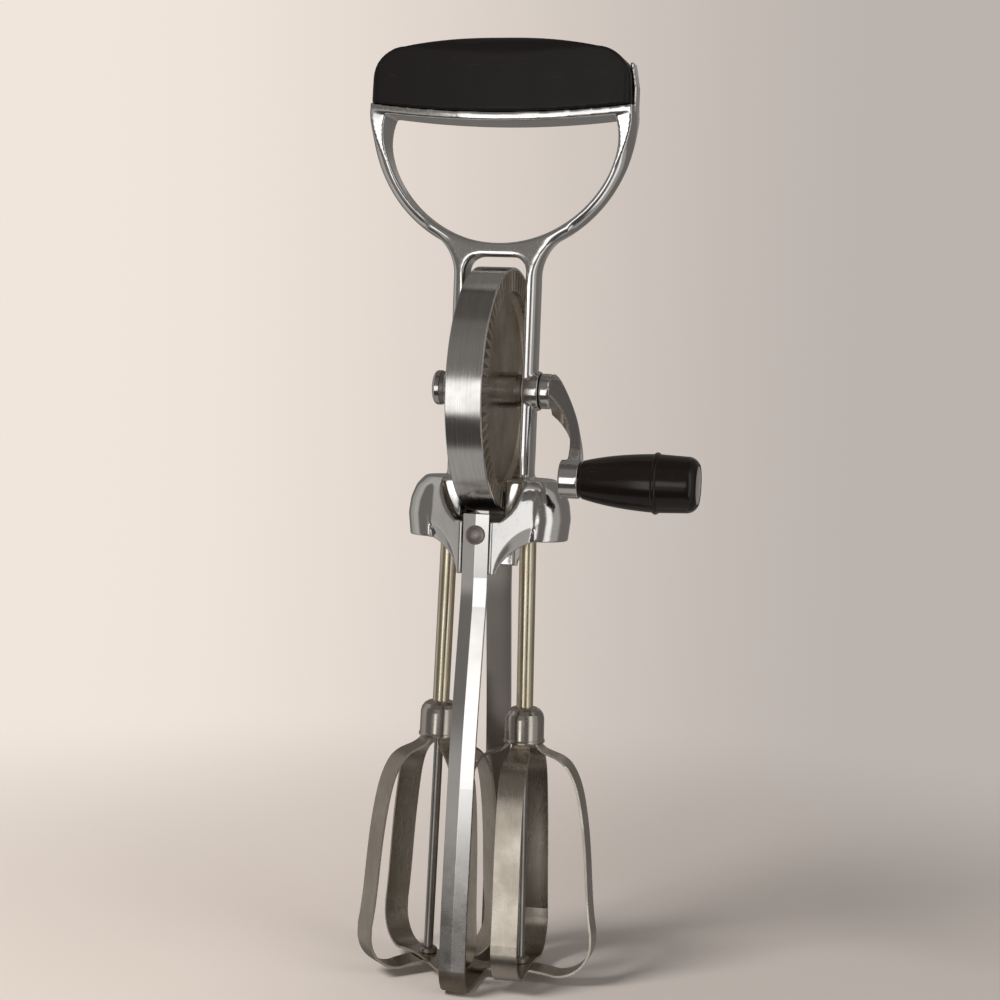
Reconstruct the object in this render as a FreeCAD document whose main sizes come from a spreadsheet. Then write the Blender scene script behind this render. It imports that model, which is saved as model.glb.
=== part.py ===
import FreeCAD, Part
import Sketcher
import math
import os

from FreeCAD import Placement, Rotation, Vector

# Hand-cranked egg beater, in millimetres.
# +Z runs up the tool from the beaters to the grip, +X points to the crank side and -Y is the front.
# The origin is on the underside of the leg loop, on the tool's centre line.

doc = FreeCAD.newDocument("egg_beater")
sheet = doc.addObject("Spreadsheet::Sheet", "Dimensions")

# Every driving dimension: alias, value, what it is.
DIMENSIONS = [
    ("total_height", 301.2, "leg loop underside to top of grip"),
    ("axle_height", 190.7, "height of the crank axle"),
    # handle loop
    ("loop_centre", 276.2, "height of the handle loop's centre"),
    ("loop_inner", 39.0, "inner radius of the handle loop"),
    ("loop_outer", 43.0, "outer radius of the handle loop"),
    ("band_depth", 8.0, "front to back depth of the loop band"),
    ("band_land", 1.0, "flat land on the loop band's front edge"),
    ("bar_bottom", 277.5, "underside of the cross bar under the grip"),
    ("bar_top", 280.5, "top of the cross bar"),
    ("bar_bow", 2.8, "sag of the cross bar and of the grip's lower edge in the middle"),
    ("bar_depth_mid", 17.6, "depth of the cross bar in the middle"),
    ("bar_depth_end", 14.4, "depth of the cross bar at its ends"),
    ("bar_half", 42.3, "half length of the cross bar"),
    ("tongue_width", 6.4, "width of the tongue up each end of the grip"),
    ("tongue_thick", 1.2, "thickness of the tongue"),
    ("tongue_top", 293.7, "height of the tongue's end"),
    # grip
    ("grip_half", 41.9, "half length of the grip"),
    ("grip_depth_mid", 19.4, "depth of the grip in the middle"),
    ("grip_depth_end", 16.4, "depth of the grip at its ends"),
    ("grip_shoulder", 297, "height of the grip where its top corners end"),
    ("grip_corner", 11.0, "reach of the grip's rounded top corners"),
    ("grip_round", 6.0, "rounding of the grip's top, front to back"),
    # uprights and neck
    ("slot_half", 10.0, "half width of the slot between the uprights"),
    ("slot_top", 233, "top of the slot"),
    ("slot_corner", 5.0, "radius of the slot's top corners"),
    ("upright_outer", 13.9, "outer face of an upright from the centre line"),
    ("upright_depth", 10.2, "depth of the uprights"),
    ("upright_round", 2.8, "rounding of the uprights' outer edges"),
    ("neck_foot", 226.7, "height where the neck starts to flare"),
    ("neck_reach", 23.6, "half width of the neck where it meets the loop"),
    ("boss_radius", 6.3, "radius of the axle bosses"),
    ("boss_face", 15.4, "outer face of the axle bosses"),
    ("axle_radius", 3.0, "radius of the axle"),
    ("running_gap", 0.08, "radial clearance of the running fits"),
    # gear housing
    ("housing_front", 17.5, "front face of the housing from the centre plane"),
    ("housing_flat", 5.0, "half width of the flat beside the leg"),
    ("housing_corner_x", 17.0, "sharp corner of a wing, sideways"),
    ("housing_corner_y", 10.2, "sharp corner of a wing, forwards"),
    ("housing_half", 26.6, "half width of the housing at its widest"),
    ("housing_widest", 150.2, "height of the widest section"),
    ("housing_top", 162.8, "top shelf of the housing"),
    ("housing_skirt", 143.2, "lower edge of the wings"),
    ("housing_tip", 132.8, "lowest tips beside the leg"),
    ("housing_wall", 2.2, "wall of the hollow under the housing"),
    ("hollow_top", 147.6, "ceiling of the hollow under the housing"),
    ("cavity_foot", 150.8, "floor under the pinions"),
    ("cavity_top", 160, "ceiling over the pinions"),
    ("cavity_radius", 9.5, "radius of the room around a pinion"),
    ("trough_floor", 149.5, "floor of the trough that the wheel runs in"),
    ("trough_half", 7.0, "half width of the trough's floor"),
    ("trough_half_top", 13.3, "half width of the trough at the top shelf"),
    ("bearing_radius", 4.6, "radius of the bearing bosses under the floor"),
    ("bearing_foot", 142.7, "lower end of the bearing bosses"),
    ("upright_foot", 160.6, "lower end of the uprights, inside the housing's roof"),
    ("seat_top", 162.2, "blind end of the spindles' seats in the roof"),
    # leg
    ("leg_width", 8.3, "width of the leg strip"),
    ("leg_thick", 1.3, "thickness of the leg strip at its edges"),
    ("leg_ridge", 0.45, "rise of the ridge along the leg's outer face"),
    ("leg_land", 0.12, "depth of the ridge worn off underneath, which leaves the flat land"),
    ("leg_top", 151.8, "top ends of the leg"),
    ("leg_knee", 127.2, "height where the leg leaves the housing's line"),
    ("leg_shin", 24.9, "outer face of the leg at the shin, from the centre plane"),
    ("leg_shin_height", 79.2, "height of the shin's bend"),
    ("leg_ankle", 27.2, "height where the leg turns straight down"),
    ("leg_spread", 28.4, "outer face of the leg beside the beaters"),
    ("leg_bend", 9.0, "outer radius of the leg's bottom bends"),
    ("rivet_height", 145.2, "height of the leg rivets"),
    ("rivet_head", 3.05, "radius of the rivet heads"),
    ("rivet_shank", 1.5, "radius of the rivet shanks"),
    # wheel
    ("wheel_radius", 39.0, "outer radius of the rim band"),
    ("wheel_half", 5.7, "half width of the rim band"),
    ("rim_thick", 0.9, "thickness of the rim band"),
    ("wheel_teeth", 66, "teeth on each face of the wheel"),
    ("teeth_outer", 38.05, "outer end of the wheel's teeth"),
    ("teeth_inner", 31.4, "inner end of the wheel's teeth"),
    ("teeth_root", 3.9, "root plane of the wheel's teeth"),
    ("web_plane", 2.3, "surface of the recessed web"),
    ("hub_radius", 5.85, "radius of the wheel's hub"),
    ("hub_half", 8.2, "half length of the wheel's hub"),
    # pinions
    ("pinion_teeth", 15, "teeth on each pinion"),
    ("pinion_outer", 8.7, "outer radius of a pinion"),
    ("pinion_root", 6.85, "root radius of a pinion"),
    ("pinion_foot", 153.5, "lower end of the pinion's teeth"),
    ("pinion_top", 158.6, "upper end of the pinion's teeth"),
    # beaters
    ("beater_offset", 14.0, "beater axis from the centre line at the caps"),
    ("beater_datum", 89.2, "height of the caps' tops"),
    ("beater_splay", 1.0, "lean of each beater axis in degrees"),
    ("sleeve_radius", 2.7, "outer radius of the sleeves"),
    ("spindle_radius", 1.5, "radius of the fixed spindles"),
    ("cap_radius", 6.4, "outer radius of the caps"),
    ("cap_foot", 77.7, "lower rim of the caps"),
    ("cap_wall", 0.7, "wall of the caps"),
    ("blade_width", 8.4, "width of the blade strips"),
    ("blade_thick", 0.8, "thickness of the blade strips"),
    ("blade_gap", 0.2, "gap where the two loops cross on the beater's axis"),
    ("blade_reach", 24.3, "largest radius of the outer blade loop"),
    ("blade_foot", 2.45, "underside of the outer blade loop at its lowest"),
    ("blade_rise", 1.3, "rise of the blade loops' bottoms towards the spindle"),
    ("blade_dip", 12.5, "radius where the blade loops are lowest"),
    ("blade_waist", 17.2, "height where the blade loops' sides run straight down"),
    # crank and knob
    ("crank_radius", 35.5, "axle to knob"),
    ("crank_angle", 42.5, "rest angle of the crank, from straight down towards the front"),
    ("crank_hub_radius", 5.65, "radius of the crank's hub"),
    ("crank_face", 15.7, "inner face of the crank's hub"),
    ("crank_hub_length", 3.3, "length of the crank's hub"),
    ("crank_boss_radius", 5.9, "radius of the boss that holds the knob"),
    ("crank_boss_near", 28.0, "inner face of that boss"),
    ("crank_boss_far", 34.0, "outer face of that boss"),
    ("crank_width", 7.4, "width of the crank arm at its waist"),
    ("knob_near", 34.5, "inner end of the knob"),
    ("knob_far", 70.3, "outer end of the knob"),
    ("knob_small", 5.9, "radius of the knob's inner end"),
    ("knob_large", 8.9, "radius of the knob beside its bead"),
    ("knob_pin_radius", 2.0, "radius of the pin that the knob turns on"),
]


def fill_sheet():
    for row, (alias, value, note) in enumerate(DIMENSIONS, start=1):
        sheet.set(f"A{row}", alias)
        sheet.set(f"B{row}", str(value))
        sheet.set(f"C{row}", note)
        sheet.setAlias(f"B{row}", alias)
    doc.recompute()


def size(alias):
    return float(getattr(sheet, alias))


def bind(obj, prop, expression):
    """Bind a property to an expression written with the sheet's aliases."""
    words = expression
    for alias in sorted((row[0] for row in DIMENSIONS), key=len, reverse=True):
        words = words.replace(f"<{alias}>", f"Dimensions.{alias}")
    obj.setExpression(prop, words)


# ---------------------------------------------------------------- small geometry helpers

def line(start, end):
    return Part.makeLine(Vector(*start), Vector(*end))


def arc(start, middle, end):
    return Part.Arc(Vector(*start), Vector(*middle), Vector(*end)).toShape()


def face(edges):
    return Part.Face(Part.Wire(Part.__sortEdges__(edges)))


def polygon(points):
    return Part.Face(Part.makePolygon([Vector(*p) for p in points] + [Vector(*points[0])]))


def feature(name, shape):
    obj = doc.addObject("Part::Feature", name)
    obj.Shape = shape
    return obj


def extrusion(name, base, direction, length):
    """Extrude a profile both ways from its plane, its whole length bound to the sheet."""
    obj = doc.addObject("Part::Extrusion", name)
    obj.Base = base
    obj.DirMode = "Custom"
    obj.Dir = Vector(*direction)
    obj.Solid = True
    obj.Symmetric = True
    bind(obj, "LengthFwd", length)
    return obj


def cylinder(name, radius, length, base, direction):
    """A cylinder with bound radius and length; base is its start point, direction its axis."""
    obj = doc.addObject("Part::Cylinder", name)
    bind(obj, "Radius", radius)
    bind(obj, "Height", length)
    obj.Placement = Placement(Vector(*base), Rotation(Vector(0, 0, 1), Vector(*direction)))
    return obj


def combine(kind, name, shapes):
    obj = doc.addObject(f"Part::{kind}", name)
    obj.Shapes = shapes
    return obj


def cut(name, base, tool):
    obj = doc.addObject("Part::Cut", name)
    obj.Base = base
    obj.Tool = tool
    return obj


def turned(name, points):
    """A turned piece: a closed outline of (radius, height) expressions, revolved about Z."""
    body = doc.addObject("PartDesign::Body", name)
    sketch = body.newObject("Sketcher::SketchObject", f"{name}_outline")
    plane = next(o for o in body.Origin.OriginFeatures if o.Role == "XZ_Plane")
    sketch.AttachmentSupport = [(plane, "")]
    sketch.MapMode = "FlatFace"
    values = [(evaluate(radius), evaluate(height)) for radius, height in points]
    count = len(points)
    for i in range(count):
        start = Vector(*values[i], 0)
        end = Vector(*values[(i + 1) % count], 0)
        sketch.addGeometry(Part.LineSegment(start, end), False)
    for i in range(count):
        sketch.addConstraint(Sketcher.Constraint("Coincident", i, 2, (i + 1) % count, 1))
    for i, (radius, height) in enumerate(points):
        for kind, text, value in (("DistanceX", radius, values[i][0]),
                                  ("DistanceY", height, values[i][1])):
            index = sketch.addConstraint(Sketcher.Constraint(kind, -1, 1, i, 1, value))
            if "<" in text:
                bind(sketch, f"Constraints[{index}]", text)
    revolution = body.newObject("PartDesign::Revolution", f"{name}_turned")
    revolution.Profile = sketch
    revolution.ReferenceAxis = (sketch, ["V_Axis"])
    revolution.Angle = 360
    doc.recompute()
    return body


def evaluate(expression):
    """The value of an expression over the sheet's aliases, in millimetres."""
    words = expression
    for alias in sorted((row[0] for row in DIMENSIONS), key=len, reverse=True):
        words = words.replace(f"<{alias}>", f"Dimensions.{alias}")
    result = sheet.evalExpression(words)
    return float(getattr(result, "Value", result))


# ---------------------------------------------------------------- frame casting

def handle_loop():
    """The loop band: flat inside, bulged outside, turned about the loop's centre."""
    inner = size("loop_inner")
    outer = size("loop_outer")
    land = inner + size("band_land")
    half = size("band_depth") / 2
    section = face([line((inner, -half, 0), (inner, half, 0)),
                    line((inner, half, 0), (land, half, 0)),
                    arc((land, half, 0), (outer, 0, 0), (land, -half, 0)),
                    line((land, -half, 0), (inner, -half, 0))])
    lead = 4.0
    centre = Vector(0, 0, size("loop_centre"))
    section.translate(centre)
    section.rotate(centre, Vector(0, 1, 0), -lead)
    return feature("handle_loop", section.revolve(centre, Vector(0, 1, 0), 180 + 2 * lead))


def band_section(angle, inner, outer, land, half):
    """The loop band's section as a wire, at an angle above the loop centre's level, on the crank side."""
    centre = Vector(0, 0, size("loop_centre"))
    edges = [line((inner, -half, 0), (inner, half, 0)), line((inner, half, 0), (land, half, 0)),
             arc((land, half, 0), (outer, 0, 0), (land, -half, 0)), line((land, -half, 0), (inner, -half, 0))]
    wire = Part.Wire(Part.__sortEdges__(edges))
    wire.translate(centre)
    wire.rotate(centre, Vector(0, 1, 0), -angle)
    return wire


def corner_gussets():
    """The loop's upper ends, flared inwards and front to back to meet the cross bar."""
    inner = size("loop_inner")
    outer = size("loop_outer")
    land = inner + size("band_land")
    half = size("band_depth") / 2
    flare = size("bar_depth_end") / 2
    sections = [band_section(-24.0, inner, outer - 0.05, land, half - 0.05),
                band_section(-15.0, inner - 0.15, outer, land + 0.6, half + 0.7),
                band_section(-7.0, inner - 0.7, outer, land + 1.7, half + 1.9),
                band_section(2.4, inner - 2.4, outer, land + 2.4, flare)]
    gusset = Part.makeLoft(sections, True, False)
    return [feature("right_gusset", gusset), feature("left_gusset", gusset.mirror(Vector(), Vector(1, 0, 0)))]


def cross_bar():
    """The bar under the grip, boat shaped seen from above."""
    half = size("bar_half")
    mid = size("bar_depth_mid") / 2
    end = size("bar_depth_end") / 2
    base = size("bar_bottom")
    top = size("bar_top")
    bow = size("bar_bow")
    plan = face([arc((-half, -end, 0), (0, -mid, 0), (half, -end, 0)), line((half, -end, 0), (half, end, 0)),
                 arc((half, end, 0), (0, mid, 0), (-half, end, 0)), line((-half, end, 0), (-half, -end, 0))])
    front = face([arc((-half, -mid, base), (0, -mid, base - bow), (half, -mid, base)),
                  line((half, -mid, base), (half, -mid, top)),
                  arc((half, -mid, top), (0, -mid, top - bow), (-half, -mid, top)),
                  line((-half, -mid, top), (-half, -mid, base))])
    bar = plan.extrude(Vector(0, 0, top + 1)).common(front.extrude(Vector(0, 2 * mid, 0)))
    lower = [edge for edge in bar.Edges
             if edge.BoundBox.ZMax < base + 0.1 and edge.BoundBox.XLength > half]
    return feature("cross_bar", bar.makeFillet(1.0, lower))


def end_tongues():
    """The two tongues that run up the grip's ends and hold it on the bar."""
    outer = size("bar_half") + 0.6
    inner = outer - size("tongue_thick")
    foot = size("bar_bottom")
    bend = size("bar_top") + 6.0
    top = size("tongue_top")
    lean = 1.3
    side = polygon([(inner, 0, foot), (outer, 0, foot), (outer, 0, bend),
                    (outer - lean, 0, top), (inner - lean, 0, top), (inner, 0, bend)])
    half = size("tongue_width") / 2
    side.translate(Vector(0, -half, 0))
    tongue = side.extrude(Vector(0, 2 * half, 0))
    return [feature("right_tongue", tongue),
            feature("left_tongue", tongue.mirror(Vector(0, 0, 0), Vector(1, 0, 0)))]


def neck_outline():
    """Front view of the uprights and the neck that joins them to the loop."""
    outer = size("upright_outer")
    foot = size("upright_foot")
    flare = size("neck_foot")
    centre = size("loop_centre")
    inner = size("loop_inner")
    reach = size("neck_reach")
    crest = size("loop_outer") - 0.4
    join = (reach, centre - math.sqrt(crest ** 2 - reach ** 2))
    rise = (reach, centre - math.sqrt(inner ** 2 - reach ** 2))
    # the flare is an arc tangent to the upright that ends on the loop
    across = join[0] - outer
    up = join[1] - flare
    radius = (across ** 2 + up ** 2) / (2 * across)
    sweep = math.atan2(up, radius - across)
    bulge = (outer + radius - radius * math.cos(sweep / 2), flare + radius * math.sin(sweep / 2))
    edges = [line((-outer, 0, foot), (outer, 0, foot)),
             arc((rise[0], 0, rise[1]), (0, 0, centre - inner), (-rise[0], 0, rise[1]))]
    for side in (1, -1):
        edges += [line((side * outer, 0, foot), (side * outer, 0, flare)),
                  arc((side * outer, 0, flare), (side * bulge[0], 0, bulge[1]),
                      (side * join[0], 0, join[1])),
                  line((side * join[0], 0, join[1]), (side * rise[0], 0, rise[1]))]
    return face(edges)


def neck_and_uprights():
    depth = size("upright_depth")
    outer = size("upright_outer")
    neck = neck_outline()
    neck.translate(Vector(0, -depth / 2, 0))
    block = neck.extrude(Vector(0, depth, 0))
    rounded = [edge for edge in block.Edges
               if edge.BoundBox.YLength < 1e-3 and edge.BoundBox.ZLength > 7
               and edge.BoundBox.XMin * edge.BoundBox.XMax > 0
               and min(abs(edge.BoundBox.XMin), abs(edge.BoundBox.XMax)) < outer + 0.1]
    block = block.makeFillet(size("upright_round"), rounded)
    # seen from the side the neck thins to the depth of the loop band
    thin = size("band_depth") / 2
    thick = depth / 2
    foot = size("upright_foot")
    high = size("loop_centre") - 20
    start = size("neck_foot") + 1
    end = size("loop_centre") - size("loop_inner") + 1
    side_view = polygon([(-30, -thick, foot - 1), (-30, thick, foot - 1), (-30, thick, start), (-30, thin, end),
                         (-30, thin, high), (-30, -thin, high), (-30, -thin, end), (-30, -thick, start)])
    return feature("neck_and_uprights", block.common(side_view.extrude(Vector(60, 0, 0))))


def upright_slot():
    """The slot that the wheel turns in, with rounded top corners."""
    half = size("slot_half")
    top = size("slot_top")
    corner = size("slot_corner")
    foot = size("cavity_top")
    reach = corner * math.sqrt(0.5)
    edges = [line((-half, 0, foot), (half, 0, foot)),
             line((-half + corner, 0, top), (half - corner, 0, top))]
    for side in (1, -1):
        middle = (side * (half - corner + reach), 0, top - corner + reach)
        edges += [line((side * half, 0, foot), (side * half, 0, top - corner)),
                  arc((side * half, 0, top - corner), middle, (side * (half - corner), 0, top))]
    profile = feature("slot_profile", face(edges))
    return extrusion("upright_slot", profile, (0, 1, 0), "2 * <boss_radius> + 2")


def housing_section(height, half, corner_x, corner_y, front):
    """One plan section of the housing: flats beside the legs, slanted faces, bulged sides."""
    flat = size("housing_flat")
    edges = []
    for side in (1, -1):
        edges += [Part.makeLine(Vector(side * flat, -side * front, height),
                                Vector(-side * flat, -side * front, height)),
                  line((side * flat, -front, height), (side * corner_x, -corner_y, height)),
                  arc((side * corner_x, -corner_y, height), (side * half, 0, height),
                      (side * corner_x, corner_y, height)),
                  line((side * corner_x, corner_y, height), (side * flat, front, height))]
    return Part.Wire(Part.__sortEdges__(edges))


def housing_shell(offset, top):
    """The housing's bulk; a positive offset gives the inner form of its hollow."""
    front = size("housing_front")
    half = size("housing_half")
    corner_x = size("housing_corner_x")
    corner_y = size("housing_corner_y")
    stations = [(size("housing_tip") - 1.0, 1.2, 0.0, 0.0),
                (size("housing_skirt"), 0.8, 0.0, 0.0),
                (size("housing_widest"), 0.0, 0.0, 0.0),
                (size("housing_top") - 7.6, 0.6, 0.0, 0.0),
                (size("housing_top") - 3.2, 2.4, 0.4, 0.6),
                (size("housing_top"), 5.4, 2.0, 2.4)]
    wires = []
    for height, side_in, corner_in, front_in in stations:
        if height > top:
            break
        wires.append(housing_section(height, half - side_in - offset, corner_x - corner_in - offset * 0.6,
                                     corner_y - corner_in - offset, front - front_in - offset))
    return Part.makeLoft(wires, True, True)


def skirt_outline():
    """Front view of the housing: straight skirt, scalloped down to the tips beside the leg."""
    skirt = size("housing_skirt")
    tip = size("housing_tip")
    top = size("housing_top")
    half = size("housing_half") + 5
    tip_half = 6.4
    edges = [line((-tip_half, 0, tip), (tip_half, 0, tip)),
             line((-half, 0, top), (half, 0, top))]
    for side in (1, -1):
        scallop_end = side * (size("housing_corner_x") + 0.5)
        edges += [arc((side * tip_half, 0, tip), (side * 10.4, 0, skirt - 3.8), (scallop_end, 0, skirt)),
                  line((scallop_end, 0, skirt), (side * half, 0, skirt)),
                  line((side * half, 0, skirt), (side * half, 0, top))]
    return face(edges)


def scallop_facet(side, front):
    """The wedge that bevels a slanted face along its scalloped lower edge."""
    start = Vector(size("housing_flat"), -size("housing_front"), 0)
    end = Vector(size("housing_corner_x"), -size("housing_corner_y"), 0)
    along = (end - start).normalize()
    out = along.cross(Vector(0, 0, 1))
    reach = (end - start).Length
    skirt = size("housing_skirt")
    tip = size("housing_tip")

    def outline(proud, rise_mid, rise_end):
        def spot(distance, height):
            return start + along * distance + out * proud + Vector(0, 0, height)
        curve = Part.Arc(spot(1.4, tip), spot(6.2, skirt - 3.8 + rise_mid), spot(reach, skirt + rise_end)).toShape()
        rest = Part.makePolygon([spot(reach, skirt + rise_end), spot(reach, tip - 6), spot(1.4, tip - 6),
                                 spot(1.4, tip)])
        return Part.Wire(Part.__sortEdges__([curve] + rest.Edges))

    wedge = Part.makeLoft([outline(0.6, 6.0, 7.2), outline(-1.6, 0.0, 0.0)], True, True)
    if side < 0:
        wedge = wedge.mirror(Vector(), Vector(1, 0, 0))
    if front < 0:
        wedge = wedge.mirror(Vector(), Vector(0, 1, 0))
    return wedge


def trough_outline():
    """Front view of the trough between the wings, where the wheel dips into the housing."""
    floor = size("trough_floor")
    top = size("housing_top") + 1
    low = size("trough_half")
    high = size("trough_half_top")
    edges = [line((-low, 0, floor), (low, 0, floor)),
             line((-high, 0, top), (high, 0, top))]
    for side in (1, -1):
        edges.append(arc((side * low, 0, floor), (side * 11.0, 0, floor + 5.2), (side * high, 0, top)))
    return face(edges)


def beater_frame(side):
    """Placement of a beater's own frame: its axis leans inwards towards the top."""
    turn = Rotation(Vector(0, 1, 0), -side * size("beater_splay"))
    datum = Vector(0, 0, size("beater_datum"))
    foot = Vector(side * size("beater_offset"), 0, size("beater_datum"))
    return Placement(foot, Rotation()) * Placement(Vector(), turn) * Placement(-datum, Rotation())


def on_beater_axis(side, radius, low, high):
    """A cylinder along a beater's axis between two heights."""
    rod = Part.makeCylinder(radius, high - low, Vector(0, 0, low))
    rod.Placement = beater_frame(side)
    return rod


def housing():
    """The gear housing with its hollow, trough, pinion rooms, bearings and leg channels."""
    reach = 2 * (size("housing_front") + 5)
    skirt = skirt_outline()
    skirt.translate(Vector(0, -reach / 2, 0))
    body = housing_shell(0.0, 200.0).common(skirt.extrude(Vector(0, reach, 0)))
    for side in (1, -1):
        for front in (1, -1):
            body = body.cut(scallop_facet(side, front))
    wall = size("housing_wall")
    hollow = housing_shell(wall, size("housing_widest") + 0.1)
    ceiling = Part.makeBox(80, 60, 40, Vector(-40, -30, size("hollow_top") - 40))
    body = body.cut(hollow.common(ceiling))
    sleeve_bore = size("sleeve_radius") + size("running_gap")
    for side in (1, -1):
        boss = on_beater_axis(side, size("bearing_radius"), size("bearing_foot"), size("cavity_foot"))
        body = body.fuse(boss)
    trough = trough_outline()
    trough.translate(Vector(0, -reach / 2, 0))
    # the wide mouths of the trough stop short of the pinion rooms; a narrow slot joins them
    clear = size("cavity_radius") + 0.3
    middle = Part.makeBox(60, 2 * clear, 40, Vector(-30, -clear, size("trough_floor") - 5))
    slot_half = size("trough_half")
    slot = Part.makeBox(2 * slot_half, reach, 40, Vector(-slot_half, -reach / 2, size("trough_floor")))
    trough = trough.extrude(Vector(0, reach, 0)).cut(middle).fuse(slot)
    body = body.cut(trough)
    for side in (1, -1):
        room = on_beater_axis(side, size("cavity_radius"), size("cavity_foot"), size("cavity_top"))
        bore = on_beater_axis(side, sleeve_bore, size("bearing_foot") - 2, size("cavity_top"))
        body = body.cut(room).cut(bore)
    half = size("leg_width") / 2 + 0.3
    depth = size("leg_thick") + size("leg_ridge")
    for side in (1, -1):
        near = side * size("housing_front")
        low = min(near, near - side * depth)
        body = body.cut(Part.makeBox(2 * half, depth, 40, Vector(-half, low, size("leg_top") - 40 + 0.2)))
        shank = Part.makeCylinder(size("rivet_shank"), 10, Vector(0, side * 10, size("rivet_height")),
                                  Vector(0, side, 0))
        body = body.cut(shank)
    return feature("housing", body)


def frame():
    bosses = cylinder("axle_bosses", "<boss_radius>", "2 * <boss_face>",
                      (-size("boss_face"), 0, size("axle_height")), (1, 0, 0))
    solids = [handle_loop(), *corner_gussets(), cross_bar(), *end_tongues(),
              neck_and_uprights(), bosses, housing()]
    casting = combine("MultiFuse", "casting", solids)
    bore = cylinder("axle_bore", "<axle_radius> + <running_gap>", "4 * <boss_face>",
                    (-2 * size("boss_face"), 0, size("axle_height")), (1, 0, 0))
    seats = [feature(f"{name}_seat", on_beater_axis(side, size("spindle_radius"), size("cavity_top") - 1,
                                                    size("seat_top")))
             for name, side in (("left", -1), ("right", 1))]
    openings = combine("MultiFuse", "frame_openings", [upright_slot(), bore, *seats])
    return cut("frame", casting, openings)


def handle_grip():
    """The moulded grip: crowned top, bowed faces, ends slotted for the tongues."""
    half = size("grip_half")
    mid = size("grip_depth_mid") / 2
    end = size("grip_depth_end") / 2
    base = size("bar_top")
    shoulder = size("grip_shoulder")
    corner = size("grip_corner")
    top = size("total_height")
    low = base - size("bar_bow")
    draft = 0.5
    edges = [arc((-half, 0, base), (0, 0, low), (half, 0, base)),
             arc((-(half - corner), 0, shoulder + 1.0), (0, 0, top), (half - corner, 0, shoulder + 1.0))]
    for side in (1, -1):
        edges += [line((side * half, 0, base), (side * (half - draft), 0, shoulder - 8.0)),
                  arc((side * (half - draft), 0, shoulder - 8.0), (side * (half - 3.4), 0, shoulder - 2.4),
                      (side * (half - corner), 0, shoulder + 1.0))]
    front = extrusion("grip_front_view", feature("grip_front", face(edges)), (0, 1, 0), "2 * <grip_depth_mid>")
    plan = face([arc((-half, -end, low), (0, -mid, low), (half, -end, low)), line((half, -end, low), (half, end, low)),
                 arc((half, end, low), (0, mid, low), (-half, end, low)), line((-half, end, low), (-half, -end, low))])
    block = plan.extrude(Vector(0, 0, top))
    corners = [edge for edge in block.Edges if edge.BoundBox.ZLength > 50]
    plan_block = feature("grip_plan", block.makeFillet(2.4, corners))
    curve = size("grip_round")
    reach = curve * math.sqrt(0.5)
    edges = [line((0, -mid, low), (0, mid, low)),
             line((0, -mid + curve, top), (0, mid - curve, top))]
    for side in (1, -1):
        edges += [line((0, side * mid, low), (0, side * mid, top - curve)),
                  arc((0, side * mid, top - curve),
                      (0, side * (mid - curve + reach), top - curve + reach),
                      (0, side * (mid - curve), top))]
    side_view = extrusion("grip_side_view", feature("grip_side", face(edges)), (1, 0, 0), "3 * <grip_half>")
    blank = combine("MultiCommon", "grip_blank", [front, plan_block, side_view])
    slots = []
    for side in (1, -1):
        slot_half = size("tongue_width") / 2 + 0.15
        depth = size("bar_half") - size("tongue_thick") + 0.5
        slot = polygon([(side * depth, -slot_half, base - 1), (side * (half + 3), -slot_half, base - 1),
                        (side * (half + 3), -slot_half, size("tongue_top") + 0.3),
                        (side * (depth - 1.5), -slot_half, size("tongue_top") + 0.3),
                        (side * depth, -slot_half, base + 6)])
        slots.append(feature(f"grip_slot_{'right' if side > 0 else 'left'}",
                             slot.extrude(Vector(0, 2 * slot_half, 0))))
    return cut("handle_grip", blank, combine("MultiFuse", "grip_slots", slots))


# ---------------------------------------------------------------- leg and rivets

def offset_path(points, radii):
    """A wire of straight runs in the YZ plane joined by tangent arcs of the given radii."""
    edges = []
    here = Vector(0, *points[0])
    for i in range(1, len(points) - 1):
        corner = Vector(0, *points[i])
        before = (Vector(0, *points[i - 1]) - corner).normalize()
        after = (Vector(0, *points[i + 1]) - corner).normalize()
        turn = math.pi - before.getAngle(after)
        setback = radii[i - 1] * math.tan(turn / 2)
        start = corner + before * setback
        end = corner + after * setback
        inward = (before + after).normalize()
        middle = corner + inward * (radii[i - 1] / math.cos(turn / 2) - radii[i - 1])
        edges += [Part.makeLine(here, start), Part.Arc(start, middle, end).toShape()]
        here = end
    edges.append(Part.makeLine(here, Vector(0, *points[-1])))
    return edges


def leg_side(offset):
    """One face of the leg seen from the side, as edges, set in from the ridge by offset."""
    near = -size("housing_front") + offset
    shin = -size("leg_shin") + offset
    far = -size("leg_spread") + offset
    foot = offset - size("leg_land")
    half = [(near, size("leg_top")), (near, size("leg_knee")), (shin, size("leg_shin_height")),
            (far, size("leg_ankle")), (far, foot)]
    mirrored = [(-y, z) for y, z in reversed(half)]
    bend = size("leg_bend") - offset
    radii = [60 - offset, 300 + offset, 200 + offset, bend]
    return offset_path(half + mirrored, radii + radii[::-1])


def leg_section(outer, across):
    """The leg's closed side view at one place across its width, its outer face set in by outer."""
    inner = size("leg_thick") + size("leg_ridge")
    top = size("leg_top")
    front = size("housing_front")
    ends = [line((0, side * (front - outer), top), (0, side * (front - inner), top)) for side in (1, -1)]
    wire = Part.Wire(Part.__sortEdges__(leg_side(outer) + leg_side(inner) + ends))
    wire.translate(Vector(across, 0, 0))
    return wire


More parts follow.
